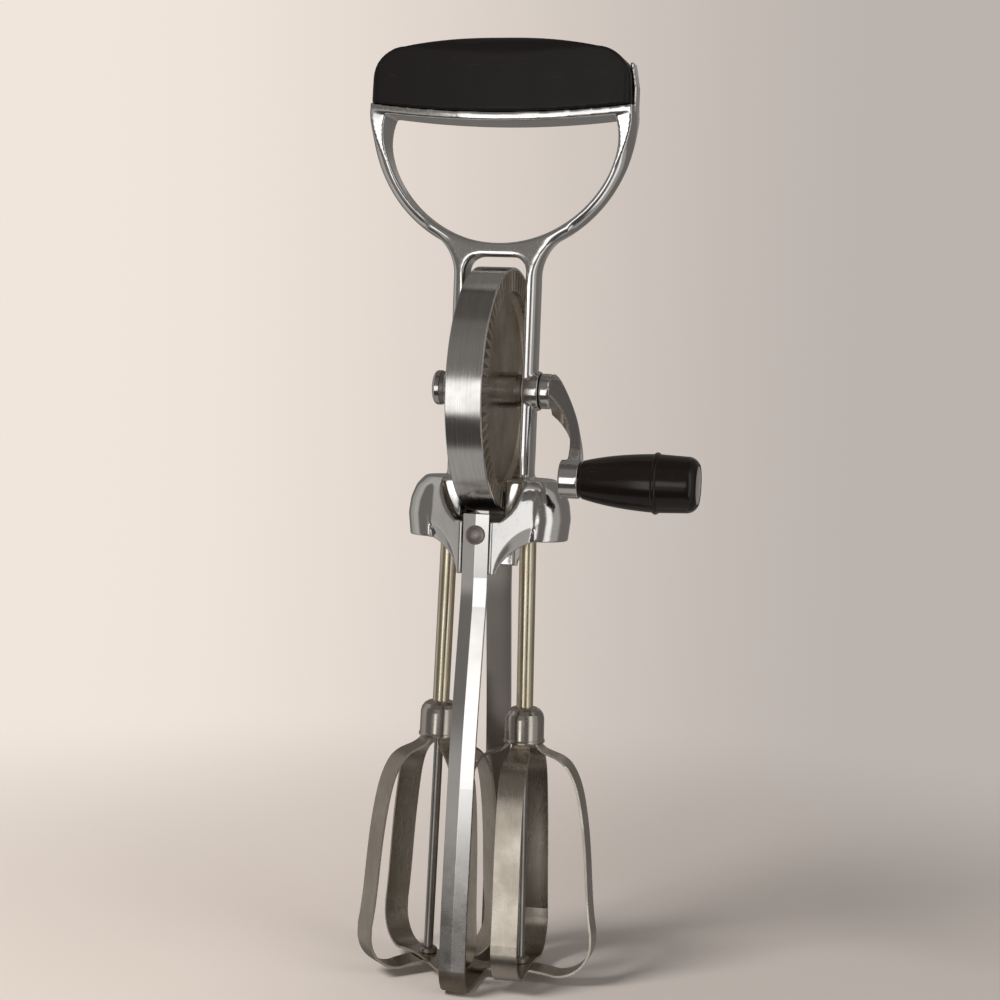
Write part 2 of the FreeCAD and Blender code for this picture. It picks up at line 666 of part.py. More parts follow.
def leg():
    """The leg: one strip bent into a long U, ridged along its outer face, with a flat land to stand on."""
    ridge = size("leg_ridge")
    half = size("leg_width") / 2
    strip = Part.makeLoft([leg_section(ridge, -half), leg_section(0, 0), leg_section(ridge, half)], True, True)
    spread = size("leg_spread") + 5
    strip = strip.cut(Part.makeBox(4 * half, 2 * spread, 5, Vector(-2 * half, -spread, -5)))
    for side in (1, -1):
        strip = strip.cut(Part.makeCylinder(size("rivet_shank"), 12, Vector(0, side * 10, size("rivet_height")),
                                            Vector(0, side, 0)))
    return feature("leg", strip)


def leg_rivet(name, side):
    """A domed rivet through the leg and the housing wall, headed over inside."""
    seat = "<housing_front>"
    inside = "<housing_front> - <leg_thick> - <leg_ridge> - 1.6"
    outline = [("0", inside + " - 0.9"), ("2.0", inside + " - 0.9"), ("2.0", inside),
               ("<rivet_shank>", inside), ("<rivet_shank>", seat), ("<rivet_head>", seat)]
    steps = 10
    for i in range(steps):
        angle = math.pi / 2 * i / steps
        outline.append((f"<rivet_head> * {math.cos(angle):.4f}", f"{seat} + 0.25 + 1.35 * {math.sin(angle):.4f}"))
    body = turned(name, outline + [("0", seat + " + 1.6")])
    turn = Rotation(Vector(0, 0, 1), Vector(0, side, 0))
    body.Placement = Placement(Vector(0, 0, size("rivet_height")), turn)
    bind(body, ".Placement.Base.z", "<rivet_height>")
    return body


# ---------------------------------------------------------------- wheel, axle, crank and knob

def on_axle(body):
    """Lay a piece that was turned about Z along the axle, its own Z towards the crank."""
    body.Placement = Placement(Vector(0, 0, size("axle_height")),
                               Rotation(Vector(0, 0, 1), Vector(1, 0, 0)))
    bind(body, ".Placement.Base.z", "<axle_height>")
    return body


def rim_band():
    inner = "<wheel_radius> - <rim_thick>"
    half = "<wheel_half>"
    return on_axle(turned("rim_band", [
        (inner, f"-{half}"), ("<wheel_radius> - 0.25", f"-{half}"), ("<wheel_radius>", f"-{half} + 0.25"),
        ("<wheel_radius>", f"{half} - 0.25"), ("<wheel_radius> - 0.25", half), (inner, half)]))


def gear_face(name, side):
    """A toothed face of the wheel: recessed web, raised ring and straight radial teeth."""
    outer = size("wheel_radius") - size("rim_thick")
    root = size("teeth_root")
    web = size("web_plane")
    inner = size("teeth_inner")
    tip = size("wheel_half")
    count = int(size("wheel_teeth"))
    hub = size("hub_radius")
    section = [(hub, 0, 0), (outer, 0, 0), (outer, 0, root), (inner, 0, root),
               (inner - 1.2, 0, web), (hub, 0, web)]
    disc = polygon(section).revolve(Vector(), Vector(0, 0, 1), 360)
    half_root = 0.84
    half_tip = 0.42
    teeth_end = size("teeth_outer")
    tooth = polygon([(inner, -half_root, root - 0.2), (inner, half_root, root - 0.2),
                     (inner, half_tip, tip), (inner, -half_tip, tip)]).extrude(Vector(teeth_end - inner, 0, 0))
    teeth = []
    for i in range(count):
        copy = tooth.copy()
        copy.rotate(Vector(), Vector(0, 0, 1), i * 360 / count)
        teeth.append(copy)
    gear = disc.fuse(teeth)
    if side < 0:
        gear = gear.mirror(Vector(), Vector(0, 0, 1))
    return on_axle(feature(name, gear))


def wheel_hub():
    return on_axle(turned("wheel_hub", [
        ("<axle_radius>", "-<hub_half>"), ("<hub_radius>", "-<hub_half>"), ("<hub_radius>", "<hub_half>"),
        ("<axle_radius>", "<hub_half>")]))


def axle():
    """The axle, headed at its left end and fixed in the crank's hub at the right."""
    head = "-<boss_face> - 4.0"
    seat = "-<boss_face> - 1.7"
    return on_axle(turned("axle", [
        ("0", head), ("4.6", head), ("5.2", head + " + 0.35"), ("5.55", head + " + 0.9"),
        ("5.55", seat), ("<axle_radius>", seat), ("<axle_radius>", "<crank_face> + 3.4"),
        ("0", "<crank_face> + 3.4")]))


def axle_washer(name, radius, low, high):
    return on_axle(turned(name, [("<axle_radius>", low), (radius, low), (radius, high),
                                 ("<axle_radius>", high)]))


def crank_side_view():
    """The crank arm seen along its width: u down the arm, x away from the frame."""
    hub = size("crank_hub_radius")
    length = size("crank_radius")
    face_near = size("crank_face")
    near = size("crank_boss_near")
    far = size("crank_boss_far")
    outer = Part.BSplineCurve()
    outer.interpolate([Vector(-hub + 0.3, 0, 18.6), Vector(-2.0, 0, 21.4), Vector(3.4, 0, 24.8),
                       Vector(9.2, 0, 27.8), Vector(15.4, 0, 30.4), Vector(22.0, 0, 32.3),
                       Vector(length, 0, far)])
    inner = Part.BSplineCurve()
    inner.interpolate([Vector(hub - 0.2, 0, 19.0), Vector(10.7, 0, 23.8), Vector(15.4, 0, 26.6),
                       Vector(20.0, 0, 28.4), Vector(27.0, 0, 29.6), Vector(length, 0, 30.2)])
    edges = [outer.toShape(), inner.toShape(), line((length, 0, far), (length, 0, 30.2)),
             line((-hub + 0.3, 0, 18.6), (-hub + 0.3, 0, face_near + 1)),
             line((-hub + 0.3, 0, face_near + 1), (hub - 0.2, 0, face_near + 1)),
             line((hub - 0.2, 0, face_near + 1), (hub - 0.2, 0, 19.0))]
    return face(edges), near


def crank_plan():
    """The crank arm seen along the axle: hub circle, waisted arm, boss circle."""
    hub = size("crank_hub_radius")
    boss = size("crank_boss_radius")
    length = size("crank_radius")
    waist = size("crank_width") / 2
    edges = [arc((0, hub, 0), (-hub, 0, 0), (0, -hub, 0)),
             arc((length, -boss, 0), (length + boss, 0, 0), (length, boss, 0))]
    for side in (1, -1):
        flank = Part.BSplineCurve()
        flank.interpolate([Vector(0, side * hub, 0), Vector(length * 0.35, side * (waist + 0.5), 0),
                           Vector(length * 0.65, side * waist, 0),
                           Vector(length - 6.0, side * (waist + 0.7), 0), Vector(length, side * boss, 0)])
        edges.append(flank.toShape())
    return face(edges)


def crank():
    """The crank: hub, curved arm and boss in one casting, modelled arm along X then laid in place."""
    side_view, near = crank_side_view()
    width = 3 * size("crank_hub_radius")
    side_view.translate(Vector(0, -width / 2, 0))
    arm = side_view.extrude(Vector(0, width, 0)).common(crank_plan().extrude(Vector(0, 0, 60)))
    root = size("crank_hub_radius")
    hub_length = size("crank_hub_length")
    hub = Part.makeCylinder(root, hub_length, Vector(0, 0, size("crank_face")))
    shoulder = size("crank_face") + hub_length
    arm = arm.common(Part.makeBox(80, width, 40, Vector(-20, -width / 2, shoulder - 0.2)))
    groove = Part.makeCylinder(root + 2, 0.6, Vector(0, 0, shoulder - 0.3))
    groove = groove.cut(Part.makeCylinder(root - 0.4, 0.6, Vector(0, 0, shoulder - 0.3)))
    boss_length = size("crank_boss_far") - near
    boss = Part.makeCylinder(size("crank_boss_radius"), boss_length, Vector(size("crank_radius"), 0, near))
    casting = arm.fuse([hub, boss]).removeSplitter().cut(groove)
    casting = casting.cut(Part.makeCylinder(size("axle_radius"), 3.4, Vector(0, 0, size("crank_face"))))
    casting = casting.cut(Part.makeCylinder(size("knob_pin_radius"), boss_length,
                                            Vector(size("crank_radius"), 0, near)))
    part = feature("crank", casting)
    # local X becomes the arm's direction, local Z becomes the axle's +X
    lay = Rotation(Vector(0, 1, 0), 90)
    swing = Rotation(Vector(1, 0, 0), -size("crank_angle"))
    part.Placement = Placement(Vector(0, 0, size("axle_height")), swing * lay)
    return part


def knob_axis():
    angle = math.radians(size("crank_angle"))
    drop = size("crank_radius") * math.cos(angle)
    return Vector(0, -size("crank_radius") * math.sin(angle), size("axle_height") - drop)


def on_knob_axis(body):
    body.Placement = Placement(knob_axis(), Rotation(Vector(0, 0, 1), Vector(1, 0, 0)))
    return body


def knob():
    """The turned knob: slender towards the crank, a raised bead, a straight outer end."""
    near = size("knob_near")
    far = size("knob_far")
    small = size("knob_small")
    large = size("knob_large")
    bead = near + 0.645 * (far - near)
    bore = size("knob_pin_radius") + size("running_gap")
    dish = 6.3
    flank = Part.BSplineCurve()
    flank.interpolate([Vector(small, 0, near + 0.5), Vector(small + 1.35, 0, near + 6.5),
                       Vector(small + 2.3, 0, near + 13.0), Vector(large, 0, bead - 0.9)])
    edges = [line((bore, 0, near), (small - 0.5, 0, near)),
             line((small - 0.5, 0, near), (small, 0, near + 0.5)),
             flank.toShape(),
             arc((large, 0, bead - 0.9), (large + 0.55, 0, bead), (large, 0, bead + 0.9)),
             line((large, 0, bead + 0.9), (large - 0.35, 0, far - 3.4)),
             arc((large - 0.35, 0, far - 3.4), (large - 1.15, 0, far - 1.05), (dish + 0.1, 0, far)),
             line((dish + 0.1, 0, far), (dish, 0, far - 0.9)),
             line((dish, 0, far - 0.9), (bore, 0, far - 0.9)),
             line((bore, 0, far - 0.9), (bore, 0, near))]
    shape = face(edges).revolve(Vector(), Vector(0, 0, 1), 360)
    return on_knob_axis(feature("knob", shape))


def knob_pin():
    """The pin that the knob turns on: fixed in the crank's boss, a flat disc over the knob's end."""
    under = "<knob_far> - 0.8"
    return on_knob_axis(turned("knob_pin", [
        ("0", "<crank_boss_near>"), ("<knob_pin_radius>", "<crank_boss_near>"),
        ("<knob_pin_radius>", under), ("6.1", under), ("6.1", "<knob_far> - 0.35"),
        ("5.8", "<knob_far> - 0.1"), ("0", "<knob_far>")]))


# ---------------------------------------------------------------- beaters

def on_beater(body, side, turn=0.0):
    """Place a piece made about Z on its beater's axis, turned about it by turn degrees."""
    body.Placement = beater_frame(side) * Placement(Vector(), Rotation(Vector(0, 0, 1), turn))
    return body


def pinion(name, side):
    """A pinion pressed on the sleeve's top: straight teeth and a plain shoulder below them."""
    count = int(size("pinion_teeth"))
    root = size("pinion_root")
    outer = size("pinion_outer")
    foot = size("pinion_foot")
    top = size("pinion_top")
    bore = size("sleeve_radius")
    blank = Part.makeCylinder(root, top - foot, Vector(0, 0, foot))
    shoulder = Part.makeCylinder(5.0, foot - size("cavity_foot") - 0.15,
                                 Vector(0, 0, size("cavity_foot") + 0.15))
    half_root = 0.8
    half_tip = 0.42
    tooth = polygon([(root - 0.3, -half_root, foot), (root - 0.3, half_root, foot),
                     (outer, half_tip, foot), (outer, -half_tip, foot)]).extrude(Vector(0, 0, top - foot))
    teeth = []
    facing = 180.0 if side > 0 else 0.0
    for i in range(count):
        copy = tooth.copy()
        copy.rotate(Vector(), Vector(0, 0, 1), facing + (i + 0.5) * 360 / count)
        teeth.append(copy)
    gear = blank.fuse([shoulder] + teeth)
    gear = gear.cut(Part.makeCylinder(bore, 30, Vector(0, 0, foot - 15)))
    return on_beater(feature(name, gear), side)


def sleeve(name, side):
    bore = "<spindle_radius> + <running_gap>"
    foot = "<beater_datum> - 3.5"
    return on_beater(turned(name, [
        (bore, foot), ("<sleeve_radius>", foot), ("<sleeve_radius>", "<pinion_top> + 0.6"),
        (bore, "<pinion_top> + 0.6")]), side)


def cap(name, side):
    """The domed cap that gathers the blade ends round the sleeve."""
    inner = "<cap_radius> - <cap_wall>"
    top = "<beater_datum>"
    return on_beater(turned(name, [
        (inner, "<cap_foot>"), ("<cap_radius> + 0.15", "<cap_foot>"), ("<cap_radius> + 0.35", "<cap_foot> + 0.5"),
        ("<cap_radius> + 0.15", "<cap_foot> + 1.0"), ("<cap_radius>", "<cap_foot> + 1.2"),
        ("<cap_radius>", top + " - 3.6"), ("<cap_radius> - 0.35", top + " - 2.2"),
        ("<cap_radius> - 1.2", top + " - 1.0"), ("<cap_radius> - 2.3", top + " - 0.3"),
        ("<cap_radius> - 3.2", top), ("<sleeve_radius>", top), ("<sleeve_radius>", top + " - 0.8"),
        ("<cap_radius> - 3.3", top + " - 0.8"), (inner + " - 1.3", top + " - 1.5"),
        (inner + " - 0.35", top + " - 2.7"), (inner, top + " - 4.0")]), side)


def blade_outline(nest, depth):
    """One face of a blade loop nested inwards by nest, depth under its outer face, between its tabs."""
    inset = nest + depth
    reach = size("blade_reach") - inset
    foot = size("blade_foot") + inset
    rim = size("cap_foot")
    waist = size("blade_waist")
    tab = 4.9 - depth
    tab_top = rim + 6.0
    curve = Part.BSplineCurve()
    curve.interpolate([Vector(tab, 0, rim + 0.4),
                       Vector(tab + 1.3 - 0.1 * inset, 0, rim - 1.4 - 0.4 * inset),
                       Vector(12.6 - 0.5 * inset, 0, rim - 4.3 - 0.8 * inset),
                       Vector(17.4 - 0.75 * inset, 0, rim - 10.1 - 0.6 * inset),
                       Vector(20.0 - inset, 0, rim - 19.0 - 0.2 * inset),
                       Vector(22.2 - inset, 0, rim - 37.5),
                       Vector(reach, 0, waist)])
    dip = size("blade_dip")
    middle = foot + size("blade_rise")
    corner = reach - dip
    side_turn = corner * (1 - math.sqrt(0.5))
    edges = [arc((-dip, 0, foot), (0, 0, middle), (dip, 0, foot))]
    for side in (1, -1):
        arm = curve.toShape()
        if side < 0:
            arm = arm.mirror(Vector(), Vector(1, 0, 0))
        edges += [line((side * tab, 0, tab_top), (side * tab, 0, rim + 0.4)), arm,
                  line((side * reach, 0, waist), (side * reach, 0, foot + corner)),
                  arc((side * reach, 0, foot + corner), (side * (reach - side_turn), 0, foot + side_turn),
                      (side * dip, 0, foot))]
    return edges, tab, tab_top


def blade_loop(name, side, turn, nest):
    """A blade loop: a strip bent to shape, narrowed at its tabs and pierced for the spindle."""
    thick = size("blade_thick")
    outer, outer_tab, top = blade_outline(nest, 0)
    inner, inner_tab, _ = blade_outline(nest, thick)
    ends = [line((s * outer_tab, 0, top), (s * inner_tab, 0, top)) for s in (1, -1)]
    section = face(outer + inner + ends)
    half = size("blade_width") / 2
    section.translate(Vector(0, -half, 0))
    strip = section.extrude(Vector(0, 2 * half, 0))
    narrow = 2.7
    reach = size("blade_reach") + 1
    shoulder = size("cap_foot") - 0.1
    wide = shoulder - 10.4
    flank = polygon([(0, -half - 1, -1), (0, half + 1, -1), (0, half + 1, wide), (0, narrow, shoulder),
                     (0, narrow, 95), (0, -narrow, 95), (0, -narrow, shoulder), (0, -half - 1, wide)])
    flank.translate(Vector(-reach, 0, 0))
    strip = strip.common(flank.extrude(Vector(2 * reach, 0, 0)))
    bore = size("spindle_radius") + size("running_gap")
    strip = strip.cut(Part.makeCylinder(bore, 20, Vector(0, 0, -5)))
    return on_beater(feature(name, strip), side, turn)


def collar(name, side):
    """The small collar that rests on the crossed blades."""
    foot = "<blade_foot> + <blade_rise> + 2 * <blade_thick> + <blade_gap> + 0.1"
    bore = "<spindle_radius> + <running_gap>"
    return on_beater(turned(name, [(bore, foot), ("2.9", foot), ("2.9", foot + " + 1.2"),
                                   ("2.4", foot + " + 1.7"), (bore, foot + " + 1.7")]), side)


def spindle(name, side):
    """The fixed spindle that a beater turns on, pressed in the housing and headed at its foot."""
    head = "<blade_foot> + <blade_rise> - 1.5"
    return on_beater(turned(name, [
        ("0", head), ("1.9", head), ("2.5", head + " + 0.5"), ("2.5", "<blade_foot> + <blade_rise> - 0.35"),
        ("<spindle_radius>", "<blade_foot> + <blade_rise> - 0.35"), ("<spindle_radius>", "<seat_top>"),
        ("0", "<seat_top>")]), side)


def beater(name, side, phase):
    thick = size("blade_thick")
    nest = thick + size("blade_gap")
    return [pinion(f"{name}_pinion", side), sleeve(f"{name}_sleeve", side), cap(f"{name}_cap", side),
            blade_loop(f"{name}_blade_outer", side, phase, 0.0),
            blade_loop(f"{name}_blade_inner", side, phase + 90, nest),
            collar(f"{name}_collar", side), spindle(f"{name}_spindle", side)]


# ---------------------------------------------------------------- the whole tool

def build():
    fill_sheet()
    parts = [frame(), handle_grip(), leg(), leg_rivet("front_rivet", -1), leg_rivet("back_rivet", 1),
             rim_band(), gear_face("right_gear_face", 1), gear_face("left_gear_face", -1),
             wheel_hub(), axle(),
             axle_washer("right_axle_washer", "5.2", "<hub_half>", "<slot_half> - 0.25"),
             axle_washer("left_axle_washer", "5.2", "-<slot_half> + 0.25", "-<hub_half>"),
             axle_washer("axle_end_washer", "5.3", "-<boss_face> - 1.7", "-<boss_face> - 0.25"),
             crank(), knob_pin(), knob()]
    parts += beater("left", -1, 45.0)
    parts += beater("right", 1, 0.0)
    doc.recompute()
    return parts


def check(parts):
    for obj in doc.Objects:
        if "Invalid" in obj.State or "Error" in obj.State:
            raise RuntimeError(f"{obj.Name} failed: {obj.State}")
    for obj in parts:
        if obj.Shape.isNull() or not obj.Shape.isValid():
            raise RuntimeError(f"{obj.Label} has no valid shape")


def export(parts):
    os.makedirs("parts", exist_ok=True)
    for obj in parts:
        obj.Shape.exportStep(f"parts/{obj.Label}.step")
        solids = len(obj.Shape.Solids)
        print(f"{obj.Label}: {solids} solid, {obj.Shape.Volume:.1f} mm3")


all_parts = build()
check(all_parts)
export(all_parts)
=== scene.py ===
"""Looks of the hand-cranked egg beater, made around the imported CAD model.

Metres, in the CAD's frame: +Z up the tool, +X to the crank side, -Y to the front.
Cast and moulded pieces are rebuilt with soft edges, and every surface gets its own node material.
"""

import math

import bpy
from mathutils import Matrix, Vector


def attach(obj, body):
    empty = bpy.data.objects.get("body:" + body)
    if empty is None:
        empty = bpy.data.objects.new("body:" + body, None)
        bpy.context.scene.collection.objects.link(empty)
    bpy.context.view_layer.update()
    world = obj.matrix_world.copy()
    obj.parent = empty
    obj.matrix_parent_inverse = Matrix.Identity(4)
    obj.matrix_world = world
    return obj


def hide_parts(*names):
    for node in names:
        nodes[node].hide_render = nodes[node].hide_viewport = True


MM = 0.001

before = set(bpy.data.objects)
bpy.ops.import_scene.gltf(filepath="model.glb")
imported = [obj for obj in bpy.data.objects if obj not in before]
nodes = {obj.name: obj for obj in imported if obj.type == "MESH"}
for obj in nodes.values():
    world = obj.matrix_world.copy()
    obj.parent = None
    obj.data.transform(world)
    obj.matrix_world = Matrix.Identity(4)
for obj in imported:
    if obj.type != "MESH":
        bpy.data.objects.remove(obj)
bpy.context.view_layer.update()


# ---------------------------------------------------------------- camera

CAMERA_AZIMUTH = math.radians(13.6)
CAMERA_ELEVATION = math.radians(3.9)
CAMERA_ROLL = math.radians(2.1)
CAMERA_DISTANCE = 611.1 * MM
CAMERA_TARGET = Vector((3.11, 0.75, 155.3)) * MM
CAMERA_LENS = 68.4
SENSOR = 36.0


def make_camera():
    data = bpy.data.cameras.new("camera")
    data.lens = CAMERA_LENS
    data.sensor_width = SENSOR
    data.clip_start = 0.01
    data.clip_end = 50
    camera = bpy.data.objects.new("camera", data)
    bpy.context.scene.collection.objects.link(camera)
    a, e = CAMERA_AZIMUTH, CAMERA_ELEVATION
    back = Vector((math.sin(a) * math.cos(e), -math.cos(a) * math.cos(e), math.sin(e)))
    camera.location = CAMERA_TARGET + back * CAMERA_DISTANCE
    camera.rotation_mode = "QUATERNION"
    level = (-back).to_track_quat("-Z", "Y")
    camera.rotation_quaternion = level @ Matrix.Rotation(CAMERA_ROLL, 3, "Z").to_quaternion()
    bpy.context.scene.camera = camera


# ---------------------------------------------------------------- node helpers

class Nodes:
    """A short way to write a node tree: each call adds a node and returns its first output."""

    def __init__(self, tree):
        self.tree = tree
        self.tree.nodes.clear()

    def add(self, kind, values=None, **settings):
        node = self.tree.nodes.new(kind)
        for key, value in settings.items():
            setattr(node, key, value)
        for key, value in (values or {}).items():
            self.feed(node.inputs[key], value)
        return node

    def feed(self, socket, value):
        if isinstance(value, bpy.types.NodeSocket):
            self.tree.links.new(value, socket)
        elif isinstance(value, bpy.types.Node):
            self.tree.links.new(value.outputs[0], socket)
        else:
            socket.default_value = value

    def math(self, operation, a, b=0.0, clamp=False):
        return self.add("ShaderNodeMath", {0: a, 1: b}, operation=operation, use_clamp=clamp).outputs[0]

    def mix(self, factor, a, b):
        node = self.add("ShaderNodeMix", {"Factor": factor}, data_type="RGBA")
        self.feed(node.inputs["A"], a)
        self.feed(node.inputs["B"], b)
        return node.outputs["Result"]

    def ramp(self, value, stops, interpolation="LINEAR"):
        node = self.add("ShaderNodeValToRGB", {0: value})
        ramp = node.color_ramp
        ramp.interpolation = interpolation
        while len(ramp.elements) < len(stops):
            ramp.elements.new(0.5)
        for element, (position, colour) in zip(ramp.elements, stops):
            element.position = position
            element.color = (*colour, 1.0) if isinstance(colour, tuple) else (colour, colour, colour, 1.0)
        return node.outputs[0]

    def place(self, scale=(1, 1, 1), turn=(0, 0, 0)):
        """Object coordinates, stretched and turned."""
        coordinates = self.add("ShaderNodeTexCoord").outputs["Object"]
        return self.add("ShaderNodeMapping", {"Vector": coordinates, "Scale": scale, "Rotation": turn}).outputs[0]

    def noise(self, scale, detail=3.0, roughness=0.5, stretch=(1, 1, 1), turn=(0, 0, 0)):
        vector = self.place(stretch, turn)
        node = self.add("ShaderNodeTexNoise", {"Vector": vector, "Scale": scale, "Detail": detail,
                                               "Roughness": roughness})
        return node.outputs["Fac"]

    def bump(self, height, strength, distance, normal=None):
        values = {"Height": height, "Strength": strength, "Distance": distance}
        if normal is not None:
            values["Normal"] = normal
        return self.add("ShaderNodeBump", values).outputs[0]


def new_material(name):
    material = bpy.data.materials.new(name)
    material.use_nodes = True
    return material, Nodes(material.node_tree)


def finish_material(tree, base, roughness, normal=None, **shader):
    values = {"Base Color": base, "Roughness": roughness}
    values.update({key.replace("_", " "): value for key, value in shader.items()})
    if normal is not None:
        values["Normal"] = normal
    principled = tree.add("ShaderNodeBsdfPrincipled", values)
    tree.add("ShaderNodeOutputMaterial", {"Surface": principled})


def round_edges(tree, radius):
    """A normal that rounds off a sharp machined edge in the light."""
    return tree.add("ShaderNodeBevel", {"Radius": radius}, samples=4).outputs[0]


# ---------------------------------------------------------------- materials

def crevice_shade_and_dirt(tree, reach):
    """1 deep in hollows and corners, from ambient occlusion: the mask for painted shade there, and for soiling
    where polish never reaches.
    """
    open_sky = tree.add("ShaderNodeAmbientOcclusion", {"Distance": reach}, samples=8).outputs["AO"]
    return tree.ramp(open_sky, [(0.0, 1.0), (0.42, 1.0), (0.74, 0.0), (1.0, 0.0)])


def plated(name, tint, dull, grain, pits=0.3, edge=0.0, along=(1, 1, 1), shade_and_grime=0.0):
    """Bright plating: polished, with hairline scratches, small pits and faint cloudy dulling."""
    material, tree = new_material(name)
    cloud = tree.noise(45, 4, 0.6)
    fine = tree.noise(420, 3, 0.6, along)
    pitting = tree.ramp(tree.noise(2600, 2, 0.5), [(0.0, 0.0), (0.66, 0.0), (0.72, 1.0), (1.0, 1.0)])
    haze = tree.ramp(cloud, [(0.0, 0.0), (0.42, 0.0), (0.75, 1.0), (1.0, 1.0)])
    dark = tuple(value * 0.72 for value in tint)
    base = tree.mix(tree.math("MULTIPLY", haze, 0.45), (*tint, 1), (*dark, 1))
    base = tree.mix(tree.math("MULTIPLY", pitting, pits), base, (0.16, 0.13, 0.11, 1))
    rough = tree.math("ADD", dull, tree.math("MULTIPLY", haze, dull * 0.9))
    rough = tree.math("ADD", rough, tree.math("MULTIPLY", pitting, 0.25), clamp=True)
    if shade_and_grime:
        # Painted shade with soiling: hollows and corners darken to brown-black and grow rougher.
        shade_and_dirt = tree.math("MULTIPLY", crevice_shade_and_dirt(tree, 0.007), shade_and_grime)
        base = tree.mix(shade_and_dirt, base, (0.20, 0.165, 0.125, 1))
        rough = tree.math("ADD", rough, tree.math("MULTIPLY", shade_and_dirt, 0.35), clamp=True)
    smooth = round_edges(tree, edge) if edge else None
    normal = tree.bump(fine, grain, 0.00002, smooth)
    normal = tree.bump(pitting, 0.25, -0.00002, normal)
    finish_material(tree, base, rough, normal, Metallic=1.0)
    return material


def inner_side(tree):
    """1 on faces that look towards the tool's axis, front to back."""
    normal = tree.add("ShaderNodeSeparateXYZ", {0: tree.add("ShaderNodeNewGeometry").outputs["Normal"]})
    place = tree.add("ShaderNodeSeparateXYZ", {0: tree.add("ShaderNodeTexCoord").outputs["Object"]})
    inward = tree.math("MULTIPLY", normal.outputs["Y"], tree.math("SIGN", place.outputs["Y"]))
    return tree.math("LESS_THAN", inward, -0.2), place.outputs["Z"]


def aged_strip(name, tint, dull, grain, edge):
    """Plated strip: bright above, mottled and dull towards the foot; faces towards the axis are left unpolished,
    rough, and darkened with painted shade.
    """
    material, tree = new_material(name)
    inward_shade, height = inner_side(tree)
    mottle = tree.noise(150, 5, 0.68)
    cloud = tree.noise(45, 4, 0.6)
    fine = tree.noise(420, 3, 0.6, (6, 6, 0.3))
    worn = tree.add("ShaderNodeMapRange", {"Value": height, "From Min": 0.060, "From Max": 0.018},
                    interpolation_type="SMOOTHSTEP").outputs[0]
    spots = tree.ramp(mottle, [(0.0, 0.0), (0.36, 0.15), (0.62, 1.0), (1.0, 1.0)])
    worn = tree.math("MULTIPLY", worn, tree.math("ADD", 0.35, tree.math("MULTIPLY", spots, 0.65)))
    foot = tree.add("ShaderNodeMapRange", {"Value": height, "From Min": 0.012, "From Max": 0.005},
                    interpolation_type="SMOOTHSTEP").outputs[0]
    haze = tree.ramp(cloud, [(0.0, 0.0), (0.45, 0.0), (0.8, 1.0), (1.0, 1.0)])
    base = tree.mix(tree.math("MULTIPLY", haze, 0.3), (*tint, 1), (0.60, 0.58, 0.56, 1))
    base = tree.mix(worn, base, (0.27, 0.25, 0.235, 1))
    # Painted shade: faces that look towards the axis are darkened.
    base = tree.mix(tree.math("MULTIPLY", inward_shade, 0.8), base, (0.30, 0.27, 0.235, 1))
    base = tree.mix(tree.math("MULTIPLY", foot, 0.85), base, (0.34, 0.27, 0.20, 1))
    rough = tree.math("ADD", dull, tree.math("MULTIPLY", haze, 0.06))
    rough = tree.math("ADD", rough, tree.math("MULTIPLY", worn, 0.22))
    rough = tree.math("ADD", rough, tree.math("MULTIPLY", inward_shade, 0.28))
    rough = tree.math("ADD", rough, tree.math("MULTIPLY", foot, 0.25), clamp=True)
    normal = tree.bump(fine, grain, 0.00002, round_edges(tree, edge))
    normal = tree.bump(tree.math("MULTIPLY", mottle, worn), 0.25, 0.00005, normal)
    finish_material(tree, base, rough, normal, Metallic=1.0)
    return material


def brushed(name, tint, stain, dull, grain, direction, edge=0.0, stain_cover=0.5):
    """Worked steel: fine streaks across `direction` scales, uneven gloss and old stains."""
    material, tree = new_material(name)
    streaks = tree.noise(1, 4, 0.65, direction)
    coarse = tree.noise(1, 2, 0.5, tuple(value * 0.23 for value in direction))
    patches = tree.noise(60, 5, 0.62)
    cover = tree.ramp(patches, [(0.0, 0.0), (0.5 - 0.2 * stain_cover, 0.0), (0.78, 1.0), (1.0, 1.0)])
    tone = tree.ramp(streaks, [(0.25, 0.82), (0.75, 1.12)])
    base = tree.mix(tree.math("MULTIPLY", cover, stain_cover), (*tint, 1), (*stain, 1))
    shade = tree.add("ShaderNodeMix", {"Factor": 1.0}, data_type="RGBA", blend_type="MULTIPLY")
    tree.feed(shade.inputs["A"], base)
    tree.feed(shade.inputs["B"], tone)
    rough = tree.math("ADD", dull, tree.math("MULTIPLY", streaks, 0.12))
    rough = tree.math("ADD", rough, tree.math("MULTIPLY", cover, 0.12), clamp=True)
    smooth = round_edges(tree, edge) if edge else None
    normal = tree.bump(streaks, grain, 0.00003, smooth)
    normal = tree.bump(coarse, grain * 0.6, 0.00006, normal)
    finish_material(tree, shade.outputs["Result"], rough, normal, Metallic=1.0)
    return material


